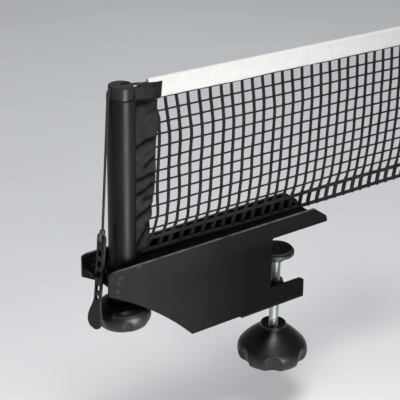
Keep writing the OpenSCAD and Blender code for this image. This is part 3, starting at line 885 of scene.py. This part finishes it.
bm = from_cad("tension_strap", 0.3, angle=32, segments=3)
bmesh.ops.triangulate(bm, faces=bm.faces, quad_method="FIXED", ngon_method="EAR_CLIP")
for v in bm.verts:
    # the small hole over the paddle is worn wider than it was moulded
    p = TO_STRAP.inverted() @ v.co
    d = Vector((0, p.y, p.z - HOLE_Z))
    if d.length < 2.0:
        v.co = TO_STRAP @ (p + d * 0.42)
moulding = place("tension_strap_moulding", bm, "strap_plastic", "strap", "tension_strap", angle=40)
moulding.data.materials.append(M["strap_shade"])
for f in moulding.data.polygons:
    p = TO_STRAP.inverted() @ (f.center / MM)
    n = TO_STRAP.to_3x3().inverted() @ f.normal
    if abs(n.x) < 0.5 and abs(p.y) < 3.2 and -52 < p.z < 2.6 and (Vector((0, p.y, p.z)).length > 2.5 or abs(p.y) < 2.3):
        f.material_index = 1

# ferrule, pressed in two rows
bm = tube(bmesh.new(), [on_strap((0, 0, 4.5 + k * 0.1)) for k in range(33)],
          lambda s: 2.3 - 0.28 * (math.exp(-((s - 0.95) / 0.28) ** 2) + math.exp(-((s - 2.25) / 0.28) ** 2)) - 0.25 * max(0, 1 - s / 0.3) - 0.25 * max(0, 1 - (3.2 - s) / 0.3),
          n=32, shape=lambda s: (0.86, 1.0))
place("cord_crimp_steel", bm, "dark_steel", "strap", "cord_crimp", angle=60, weighted=False)

# the cord's loop through the strap's eye, in the painted-highlight copy of the cord
bm = bmesh.new()
for y, low, out in ((-0.72, 2.0, 1.6), (0.72, 2.05, 1.6), (-0.66, 0.1, 1.72), (0.7, 0.15, 1.7)):
    loop = [on_strap((-out * 0.8, y * 0.8, 5.2)), on_strap((-out, y, 3.6))]
    loop += [on_strap((out * math.cos(math.pi + math.pi * k / 16), y, low + 1.45 * math.sin(math.pi + math.pi * k / 16))) for k in range(17)]
    loop += [on_strap((out, y, 3.6)), on_strap((out * 0.8, y * 0.8, 5.2))]
    tube(bm, spline(loop, 0.25), 0.74, n=12)
place("cord_eye_loop", bm, "cord_loop_lit", "strap", "cord_eye", angle=80, weighted=False)

# --------------------------------------------------------------- net's end

place("net_end_rod_glass", from_cad("net_end_rod", 0.3), "rod", "bracket", "net_end_rod")

SAG_LEFT = [(138, -0.9), (130, 0), (118, 1.9), (105, 3.5), (92, 3.2), (80, 2.7), (65, 2.6), (50, 2.4), (40, 1.6), (33, 0.9), (28, -1.0), (24, -3.2), (20, -4.8), (14, -6.2), (8, -6.6)]
SAG_RIGHT = [(138, -0.4), (130, 0), (118, 0.8), (105, 1.5), (92, 1.8), (80, 2.0), (65, 1.4), (50, 0.5), (40, -0.6), (30, -1.8), (20, -3.8), (8, -6.0)]


def sag(x, z):
    """How far a vertical twine leans aside at height z."""
    t = min(max((x + 93.2) / 234.2, 0), 1)
    return lerp(table(SAG_LEFT, z), table(SAG_RIGHT, z), t)


ROWS = [
    [(-95, 127.7), (15, 125.6), (97, 124.4), (141, 123.0)],
    [(-95, 118.1), (15, 116.0), (97, 115.0), (141, 113.5)],
    [(-95, 109.0), (15, 106.3), (97, 105.4), (141, 104.0)],
    [(-95, 98.8), (15, 96.9), (97, 95.6), (141, 94.8)],
    [(-95, 88.5), (15, 87.1), (97, 86.0), (141, 85.0)],
    [(-95, 79.0), (15, 77.8), (97, 76.5), (141, 75.4)],
    [(-95, 70.0), (15, 67.8), (97, 66.3), (141, 66.0)],
    [(-95, 60.4), (15, 58.5), (97, 57.1), (141, 56.5)],
    [(-95, 50.3), (15, 49.4), (97, 48.4), (141, 47.3)],
    [(-95, 40.3), (15, 40.0), (97, 39.0), (141, 37.9)],
    [(-95, 31.5), (15, 30.0), (97, 29.6), (141, 28.8)],
    [(-95, 23.6), (15, 22.2), (97, 21.4), (141, 20.4)],
]
STARTS = [-93.2, -83.2, -73.0, -62.4, -52.0, -41.5, -31.7, -21.5, -11.1, -1.1, 9.5, 18.9, 29.0, 39.1, 49.4, 59.0,
          68.8, 78.8, 88.5, 98.8, 108.8, 118.1, 128.1, 138.1, 148.2, 158.3, 167.9]
WAVES = [[rng.uniform(-1, 1) for _ in range(6)] for _ in STARTS]


def row_z(row, x):
    pts = ROWS[row]
    if x > 141:
        return pts[-1][1] - (x - 141) * 0.02
    return table(pts, x) if x > -95 else pts[0][1] + (-95 - x) * 0.02


def twine_x(i, z):
    w = WAVES[i]
    wob = 0.28 * w[0] * math.sin(z / 11 + 3 * w[1]) + 0.2 * w[2] * math.sin(z / 5.3 + 3 * w[3])
    return STARTS[i] + sag(STARTS[i], z) + wob


def tape_wave(x):
    """How far the tape's lower edge stands aside."""
    return 0.22 * math.sin(x / 19) + 0.12 * math.sin(x / 7.3 + 1)


def twine_y(i, z):
    w = WAVES[i]
    up = min(1.0, max(0.0, (z - 122) / 14))
    return 0.28 * w[4] * math.sin(z / 14 + 3 * w[5]) * (1 - up) + tape_wave(STARTS[i]) * up * up


def edge_x(z):
    """Right edge of the black end band."""
    return table([(7, -112.5), (14, -111), (20, -109.4), (26, -108.2), (31, -107.3), (35, -106.9), (44, -106.2), (50, -105.7), (58, -105.0), (64, -103.9),
                  (72, -103.1), (80, -102.7), (88, -102.8), (97, -102.9), (106, -102.2), (112, -101.2), (119, -100.6), (127, -101.2), (133, -101.6), (138, -101.2)], z)


def net():
    bm = bmesh.new()
    crossings = []
    for i, x0 in enumerate(STARTS):
        z_top = top_at(x0) - TAPE_H + 0.7
        z_low = cord_z(x0 + sag(x0, 12)) + 0.2
        n = int((z_top - z_low) / 1.15)
        zs = [lerp(z_top, z_low, k / n) for k in range(n + 1)]
        pts = [(twine_x(i, z), twine_y(i, z), z) for z in zs]
        knots = [row_z(r, twine_x(i, row_z(r, x0))) for r in range(len(ROWS))]
        crossings.append([(twine_x(i, z), z) for z in knots])

        def radius(s, zs=zs, n=n, knots=knots, i=i):
            z = zs[0] - s
            near = min(abs(z - k) for k in knots)
            foot = min(1.0, max(0.0, (27 - z) / 7))
            return 1.36 + 0.16 * math.exp(-((near / 1.3) ** 2)) + 0.06 * math.sin(z * 1.9 + i) + 0.55 * foot * foot

        def flat(s, top=zs[0], low=zs[-1]):
            z = top - s
            held = min(1.0, max(0.0, (top - 0.5 - z) / 2.2))
            tied = min(1.0, max(0.0, (z - low) / 2.0))
            return 0.34 + 0.46 * held, 0.5 + 0.5 * min(held + 0.3, tied * 0.5 + 0.5, 1.0)

        tube(bm, pts, radius, n=10, shape=flat)
    # outermost twine, which leaves the end band's edge and returns to it
    zs = [lerp(129, 15, k / 96) for k in range(97)]
    lean = [(129, -102.6), (126, -101.3), (121, -99.8), (115, -99.5), (104, -99.3), (90, -99.9), (70, -100.8), (56, -100.9), (43, -100.6), (36, -102.2), (29.5, -104.2), (24, -106.9), (20, -108.6), (15, -110.6)]
    pts = [(table(lean, z), 0.1 * math.sin(z / 9), z) for z in zs]
    tube(bm, pts, lambda s: 1.28 + 0.05 * math.sin(s * 1.7), n=10, shape=lambda s: (0.8, 1.0))
    # selvedge twine along the tape's lower edge
    pts = [(x, tape_wave(x), top_at(x) - TAPE_H - 0.45 + 0.12 * math.sin(x / 6)) for x in [lerp(-102.4, NET_END + 0.4, k / 240) for k in range(241)]]
    tube(bm, pts, lambda s: 0.72 + 0.05 * math.sin(s * 1.3), n=8)
    for r in range(len(ROWS)):
        zl = row_z(r, -100)
        start = edge_x(zl) - 1.2
        pts = [(start, 0, row_z(r, start) - 0.25)]
        xs = [c[r][0] for c in crossings]
        for k, x in enumerate(xs):
            z = row_z(r, x)
            pts.append((x, -0.62, z))
            nxt = xs[k + 1] if k + 1 < len(xs) else NET_END
            for f, drop in ((0.3, 0.14), (0.5, 0.2), (0.7, 0.14)):
                xm = lerp(x, nxt, f)
                pts.append((xm, -0.12, row_z(r, xm) - drop * (1 + 0.6 * WAVES[k][r % 6])))
        pts.append((NET_END + 0.5, 0, row_z(r, NET_END)))
        tube(bm, spline(pts, 1.5), lambda s, r=r: (1.5 if r == 11 else 0.76) + 0.04 * math.sin(s * 0.9 + r), n=8)
    return bm


place("netting_twine", net(), "twine", "bracket", "net_mesh", angle=80, weighted=False)

# bottom cord: the net's selvedge twine laid round a cord
bm = bmesh.new()
pts = [(x, 0, cord_z(x) + 0.12 * math.sin(x / 17)) for x in [-116.5 + 1.2 * k for k in range(int((NET_END + 116.5) / 1.2) + 1)]]
tube(bm, pts, lambda s: (table([(-117, 1.95), (-40, 1.95), (30, 1.65), (180, 1.6)], s - 116.5) + 0.06 * math.sin(s * 1.25)) * min(1.0, 0.55 + s / 8), n=10)
for i, x0 in enumerate(STARTS):
    x = x0 + sag(x0, 12)
    wrap = [(x + 0.42 * (a / math.pi - 1), 1.85 * math.cos(a), cord_z(x) + 1.85 * math.sin(a)) for a in [math.pi * 2 * k / 18 for k in range(19)]]
    tube(bm, wrap, 0.42, n=6)
place("bottom_cord_bound", bm, "twine", "bracket", "net_bottom_cord", angle=80, weighted=False)


def tape():
    """White tape folded over the net's top cord, with a soft wave along it."""
    prof = [(-0.60, -TAPE_H), (-0.66, -13), (-0.72, -9), (-0.84, -6), (-0.98, -4), (-1.10, -2.7), (-1.14, -1.7), (-1.04, -0.8),
            (-0.70, -0.2), (0, 0), (0.70, -0.2), (1.04, -0.8), (1.14, -1.7), (1.10, -2.7), (0.98, -4), (0.84, -6), (0.72, -9),
            (0.66, -13), (0.60, -TAPE_H)]
    prof = spline([(a, b, 0) for a, b in prof], 0.9)
    run = [0.0]
    for a, b in zip(prof, prof[1:]):
        run.append(run[-1] + (b - a).length)
    bm = bmesh.new()
    layer = bm.verts.layers.float_vector.new("lay")
    n = 150
    rows = []
    for k in range(n + 1):
        x = lerp(-110.2, NET_END, k / n)
        wave = tape_wave(x)
        drop = 0.12 * math.sin(x / 13 + 0.5) + 0.06 * math.sin(x / 4.1)
        row = []
        for p, s in zip(prof, run):
            low = min(1, -p.y / TAPE_H)
            v = bm.verts.new((x, p.x + wave * low, top_at(x) + p.y * (1 - 0.0 * low) + drop * low * low))
            v[layer] = Vector(((x + 111) * MM, s * MM, 0))
            row.append(v)
        rows.append(row)
    for a, b in zip(rows, rows[1:]):
        for j in range(len(a) - 1):
            bm.faces.new((a[j], a[j + 1], b[j + 1], b[j]))
    return bm


tape_piece = place("tape_cloth", tape(), "tape", "bracket", "net_top_tape", angle=80, weighted=False)
sol = tape_piece.modifiers.new("cloth", "SOLIDIFY")
sol.thickness = 0.34 * MM
sol.offset = 0.0


def stitches(path, normal, length, gap, r=0.17, proud=0.1):
    """A row of lock stitches: short raised threads that dive into the cloth at both ends."""
    bm = bmesh.new()
    pts = resample(path, 0.2)
    per = int((length + gap) / 0.2)
    i = 0
    while i + int(length / 0.2) < len(pts):
        part = pts[i : i + int(length / 0.2) + 1]
        n = len(part) - 1
        tube(bm, [part[j] + normal * (proud * math.sin(math.pi * j / n) ** 0.5 - 0.12 * (j in (0, n))) for j in (0, n // 6, n // 2, n - n // 6, n)], r, n=6)
        i += per
    return bm


def join(parts):
    out = bmesh.new()
    out.verts.layers.float_vector.new("lay")
    for p in parts:
        me = bpy.data.meshes.new("tmp")
        p.to_mesh(me)
        p.free()
        out.from_mesh(me)
        bpy.data.meshes.remove(me)
    return out


def tape_surface(x, side, down):
    low = min(1, down / TAPE_H)
    wave = tape_wave(x)
    drop = 0.12 * math.sin(x / 13 + 0.5) + 0.06 * math.sin(x / 4.1)
    return Vector((x, side * 0.83 + wave * low, top_at(x) - down + drop * low * low))


rows = []
for side in (-1, 1):
    rows.append(stitches([tape_surface(x, side, 14.3) for x in [-109 + k for k in range(int(NET_END + 108))]], Vector((0, side, 0)), 2.0, 0.7))
tape_seams = place("tape_seams", join(rows), "white_thread", "bracket", None, angle=80, weighted=False)

# the net's top cord inside the tape's fold, ending at its open end
bm = tube(bmesh.new(), [(x, 0, top_at(x) - 1.55) for x in [-109.7, -108.5, -60, 0, 60, 120, NET_END]], 0.85, n=10)
top_cord = place("top_cord_in_tape", bm, "cord", "bracket", None, angle=80, weighted=False)

# --- black end band: wrinkled binding that runs from the post's slot to the net

FOLDS = [  # height at the post, slope, depth, from and to as shares of the width, spread above and below
    (136.6, 0.15, 1.9, -1.0, 1.4, 2.3, 2.4), (124.2, 0.30, 0.45, 0.3, 0.95, 1.0, 3.0), (102.3, 0.27, 1.9, -1.0, 0.95, 1.5, 4.2),
    (92.6, 0.25, 0.5, 0.45, 0.9, 1.1, 2.5), (80.6, 0.52, 1.5, 0.42, 1.3, 1.3, 3.4), (75.2, 0.13, 1.7, -1.0, 1.3, 1.5, 3.6),
    (62.0, 0.40, 1.9, -1.0, 1.3, 1.5, 3.8), (57.4, 0.08, 1.1, 0.42, 1.1, 1.5, 2.2), (51.5, 0.9, 0.7, 0.35, 0.7, 1.2, 1.6),
    (41.9, 0.58, 2.1, -1.0, 1.2, 1.8, 4.4), (36.6, 0.05, 1.1, 0.45, 0.95, 1.5, 2.0), (29.0, 0.7, 0.5, 0.2, 0.75, 1.2, 2.0),
    (16.6, 1.40, 2.3, -1.0, 1.5, 1.7, 4.4),
]


def ease(t):
    t = min(1.0, max(0.0, t))
    return t * t * (3 - 2 * t)


def band_fold(x, z, xl, xr):
    """How far the cloth stands aside at a place, and how much painted shade it gets, in its creases and towards its
    foot.
    """
    u = (x - xl) / (xr - xl)
    y = painted_shade = 0.0
    for z0, slope, depth, first, last, above, below in FOLDS:
        d = z - (z0 + slope * (x + 122.4) + 0.5 * math.sin(x * 0.45 + z0))
        d /= math.sqrt(1 + slope * slope)
        here = ease((u - first) / 0.22 + 0.5) * ease((last - u) / 0.22 + 0.5)
        hold = min(1.0, 0.45 + u * 4)
        dip = here * hold * math.exp(-((abs(d) / (above if d > 0 else below)) ** (2.0 if d > 0 else 1.5)))
        y += depth * dip
        # painted shade, strongest just below each crease's bottom
        painted_shade = max(painted_shade, here * min(1.0, depth * 0.8) * math.exp(-((abs(d + 0.15 * above) / (1.6 * above)) ** 3)))
        y -= 0.22 * depth * here * hold * math.exp(-(((d - 2.6 * above) / (1.3 * above)) ** 2))
    y += 0.12 * math.sin(z * 0.9 + x) * math.sin(x * 0.7)
    # painted shade also darkens the band towards its foot
    return y * min(1.0, (1 - u) * 5 + 0.12), max(painted_shade, 0.8 * ease((20 - z) / 6))


def band_y(x, z, xl, xr):
    return band_fold(x, z, xl, xr)[0]


def band_sides(z):
    if z > 146:
        xl = lerp(-122.4, -121.6, max(0.0, min(1, (z - 149.2) / 1.0)))
    elif z < 14:
        xl = lerp(-119.4, -120.4, (z - 7) / 7)
    else:
        xl = -122.4
    if z <= 137.2:
        xr = edge_x(z)
    else:
        xr = lerp(edge_x(137.2), -111.2, min(1, (z - 137.2) / 0.6))
    return xl, xr


def end_band():
    bm = bmesh.new()
    layer = bm.verts.layers.float_vector.new("lay")
    zs = [7 + 0.62 * k for k in range(211)]
    zs = [z for z in zs if z < 137.2] + [137.2, 137.8] + [137.8 + 0.66 * k for k in range(1, 21)]
    rows = []
    nx = 30
    for z in zs:
        xl, xr = band_sides(z)
        row = []
        for k in range(nx + 1):
            x = lerp(xl, xr, k / nx)
            y, painted_shade = band_fold(x, z, xl, max(xr, -104))
            y *= lerp(1.0, 0.2, ease((z - 135.5) / 4))
            top = 150.1 + (x + 122) * 0.05
            v = bm.verts.new((x, y, min(z, top)))
            v[layer] = Vector(((x + 123) * MM, z * MM, painted_shade))
            row.append(v)
        rows.append(row)
    for a, b in zip(rows, rows[1:]):
        for k in range(nx):
            bm.faces.new((a[k], a[k + 1], b[k + 1], b[k]))
    return bm


band = place("end_band_cloth", end_band(), "binding", "bracket", "net_end_band", angle=80, weighted=False)
sol = band.modifiers.new("cloth", "SOLIDIFY")
sol.thickness = 0.9 * MM
sol.offset = 0.0


def patch_top(x):
    return table([(-121.6, 150.3), (-119.6, 150.4), (-118, 150.8), (-116, 151.3), (-113, 152.0), (-110.5, 152.2), (-107, 151.7), (-103.5, 151.2), (-97.7, 151.0)], x)


def patch(side):
    """Reinforcing patch of the binding, sewn over the tape's end."""
    bm = bmesh.new()
    layer = bm.verts.layers.float_vector.new("lay")
    nx, nz = 44, 30
    low = top_at(-111) - TAPE_H - 0.4
    rows = []
    for j in range(nz + 1):
        q = j / nz
        row = []
        for k in range(nx + 1):
            p = k / nx
            x = lerp(-121.6, lerp(-98.9, -97.7, q), p)
            z = lerp(low + 0.25 * math.sin(x * 0.7) + 3.0 * ease((-112.5 - x) / 7), patch_top(x), q)
            rim = min(p * 1.4, 1 - p, q * 0.9, (1 - q) * 0.9) * 16
            puff = 0.32 * (1 - math.exp(-rim * 0.9))
            crease = 0.24 * math.exp(-(((z - 143.0 - 0.42 * (x + 113)) / 2.2) ** 2)) + 0.10 * math.sin(z * 0.5 + x * 0.35)
            hole = math.exp(-(((x + 105.6) / 2.0) ** 2 + ((z - 148.0) / 1.6) ** 2))
            base = table([(-121.6, 0.55), (-118.6, 0.72), (-113, 0.95), (-111, 1.24), (-97, 1.24)], x)
            v = bm.verts.new((x, side * (base + puff - (crease + 0.3 * hole) * min(1, rim)), z))
            shade = max(0.6 * ease((x + 110.5) / 6), 0.95 * ease((low + 3.2 - z) / 2.2), 0.85 * hole, 1.6 * max(0.0, crease - 0.10) * min(1, rim))
            v[layer] = Vector(((x + 123) * MM, z * MM, min(0.9, shade)))
            row.append(v)
        rows.append(row)
    for a, b in zip(rows, rows[1:]):
        for k in range(nx):
            q = (a[k], a[k + 1], b[k + 1], b[k])
            bm.faces.new(q if side < 0 else q[::-1])
    return bm


for side, name in ((-1, "end_patch_front"), (1, "end_patch_back")):
    o = place(name, patch(side), "binding", "bracket", None, angle=80, weighted=False)
    s = o.modifiers.new("cloth", "SOLIDIFY")
    s.thickness = 0.42 * MM
    s.offset = 0.0

rows = []
for side in (-1, 1):
    nrm = Vector((0, side, 0))
    for off in (1.5, 3.0):
        rows.append(stitches([(lerp(-98.9, -97.7, q) - off, side * 1.68, lerp(139, 149.6, q)) for q in [k / 20 for k in range(21)]], nrm, 1.7, 0.6))
    rows.append(stitches([(lerp(-111.5, -100, q), side * 1.62, patch_top(lerp(-111.5, -100, q)) - 1.2) for q in [k / 20 for k in range(21)]], nrm, 1.7, 0.6))
    rows.append(stitches([(lerp(-111.5, -100.6, q), side * 1.62, 139.3) for q in [k / 20 for k in range(21)]], nrm, 1.7, 0.6))
    path = []
    for k in range(126):
        z = 10 + k
        xl, xr = band_sides(z)
        path.append((xr - 1.5, band_y(xr - 1.5, z, xl, xr) + side * 0.45, z))
    rows.append(stitches(path, nrm, 2.0, 0.7))
band_seams = place("end_band_seams", join(rows), "thread", "bracket", None, angle=80, weighted=False)


def sleeve():
    """The band's hem: a sleeve round the rod with its two layers led out through the slot."""
    bm = bmesh.new()
    layer = bm.verts.layers.float_vector.new("lay")
    half = math.asin(0.62 / 1.86)
    prof = [(-122.6, 0.55), (-123.6, 0.5)]
    prof += [(ROD_X + 1.86 * math.cos(a), 1.86 * math.sin(a)) for a in [lerp(half, 2 * math.pi - half, k / 36) for k in range(37)]]
    prof += [(-123.6, -0.5), (-122.6, -0.55)]
    prof = [prof[0]] + [p for p in prof[1:-1]] + [prof[-1]]
    run = [0.0]
    for a, b in zip(prof, prof[1:]):
        run.append(run[-1] + math.dist(a, b))
    rows = []
    for j in range(84):
        z = 22 + 104 * j / 83
        row = []
        for (x, y), s in zip(prof, run):
            w = 0.06 * math.sin(z * 0.8 + s)
            v = bm.verts.new((x + w * (x - ROD_X) / 2.5, y * (1 + w), z))
            v[layer] = Vector((s * MM, z * MM, 0))
            row.append(v)
        rows.append(row)
    for a, b in zip(rows, rows[1:]):
        for k in range(len(a) - 1):
            bm.faces.new((a[k], a[k + 1], b[k + 1], b[k]))
    return bm


hem = place("end_hem_cloth", sleeve(), "binding", "bracket", "net_hem", angle=80, weighted=False)
sol = hem.modifiers.new("cloth", "SOLIDIFY")
sol.thickness = 0.4 * MM
sol.offset = 0.0


def far_hem():
    """Bound far end of the modelled length of net."""
    bm = bmesh.new()
    layer = bm.verts.layers.float_vector.new("lay")
    prof = spline([(NET_END + 0.3, -1.0, 0), (NET_END + 3, -1.05, 0), (NET_END + 5.2, -0.85, 0), (NET_END + 5.8, 0, 0), (NET_END + 5.2, 0.85, 0),
                   (NET_END + 3, 1.05, 0), (NET_END + 0.3, 1.0, 0)], 0.7)
    run = [0.0]
    for a, b in zip(prof, prof[1:]):
        run.append(run[-1] + (b - a).length)
    rows = []
    for j in range(101):
        q = j / 100
        row = []
        for p, s in zip(prof, run):
            z = lerp(6.8, top_at(p.x) - 0.1, q)
            v = bm.verts.new((p.x + 0.1 * math.sin(z * 0.4), p.y * (1 + 0.08 * math.sin(z * 0.55)), z))
            v[layer] = Vector((s * MM, z * MM, 0))
            row.append(v)
        rows.append(row)
    for a, b in zip(rows, rows[1:]):
        for k in range(len(a) - 1):
            bm.faces.new((a[k], a[k + 1], b[k + 1], b[k]))
    return bm


far = place("far_hem_cloth", far_hem(), "binding", "bracket", "net_far_hem", angle=80, weighted=False)
sol = far.modifiers.new("cloth", "SOLIDIFY")
sol.thickness = 0.4 * MM
sol.offset = 0.0
rows = []
for side in (-1, 1):
    rows.append(stitches([(NET_END + 1.6, side * 1.22, z) for z in range(9, 148)], Vector((0, side, 0)), 2.0, 0.7))
far_seam = place("far_hem_seam", join(rows), "thread", "bracket", None, angle=80, weighted=False)

# --------------------------------------------------- floor, light and camera


def floor():
    p = Paint("floor_paint", rough=0.65, spec=0.25)
    p.colour(p.mix(p.span(p.noise(2.2, 3, 0.5), 0.3, 0.7, 0, 1), (0.60, 0.61, 0.625), (0.64, 0.65, 0.665)))
    me = bpy.data.meshes.new("floor")
    s, z = 9.0, -0.175
    me.from_pydata([(-s, -s, z), (s, -s, z), (s, s, z), (-s, s, z)], [], [(0, 1, 2, 3)])
    o = bpy.data.objects.new("floor", me)
    me.materials.append(p.m)
    bpy.context.scene.collection.objects.link(o)


floor()


def lamp(name, where, target, size, power, colour=(1, 1, 1), tall=None):
    d = bpy.data.lights.new(name, "AREA")
    d.shape = "RECTANGLE"
    d.size = size
    d.size_y = tall or size
    d.energy = power
    d.color = colour
    o = bpy.data.objects.new(name, d)
    bpy.context.scene.collection.objects.link(o)
    o.location = where
    o.rotation_euler = (Vector(target) - Vector(where)).to_track_quat("-Z", "Y").to_euler()
    return o


lamp("key_light", (-0.28, -0.40, 1.45), (-0.03, 0, 0.02), 0.56, 19.5, (1.0, 0.99, 0.97))
lamp("fill_light", (-1.6, 0.1, 1.1), (-0.05, 0, 0.0), 0.9, 5, (0.93, 0.96, 1.0))
lamp("back_light", (0.7, 0.9, 1.3), (-0.03, 0, 0.0), 0.9, 7, (0.96, 0.98, 1.0))
lamp("edge_light", (-0.090, -0.352, -0.028), (-0.128, 0, 0.035), 0.155, 1.8, (1.0, 0.99, 0.95), tall=0.20)

w = bpy.data.worlds.new("studio")
bpy.context.scene.world = w
w.use_nodes = True
w.node_tree.nodes["Background"].inputs["Color"].default_value = (0.86, 0.89, 0.94, 1)
w.node_tree.nodes["Background"].inputs["Strength"].default_value = 0.26

az, el, ro = math.radians(36.70), math.radians(25.19), math.radians(1.06)
r = Vector((math.cos(az), -math.sin(az), 0))
u = Vector((math.sin(az) * math.sin(el), math.cos(az) * math.sin(el), math.cos(el)))
d = Vector((math.sin(az) * math.cos(el), math.cos(az) * math.cos(el), -math.sin(el)))
r2 = r * math.cos(ro) + u * math.sin(ro)
u2 = -r * math.sin(ro) + u * math.cos(ro)
cam = bpy.data.cameras.new("camera")
cam.lens = 117
cam.sensor_width = 36
cam.sensor_fit = "HORIZONTAL"
cam.clip_start = 0.05
cam.clip_end = 50
co = bpy.data.objects.new("camera", cam)
bpy.context.scene.collection.objects.link(co)
co.matrix_world = Matrix((
    (r2.x, u2.x, -d.x, -0.61347),
    (r2.y, u2.y, -d.y, -0.74224),
    (r2.z, u2.z, -d.z, 0.47901),
    (0, 0, 0, 1),
))
bpy.context.scene.camera = co
bpy.context.scene.view_settings.view_transform = "Standard"

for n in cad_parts.values():
    if not n.hide_render:
        n.data.materials.clear()
        n.data.materials.append(M["coated_steel"])
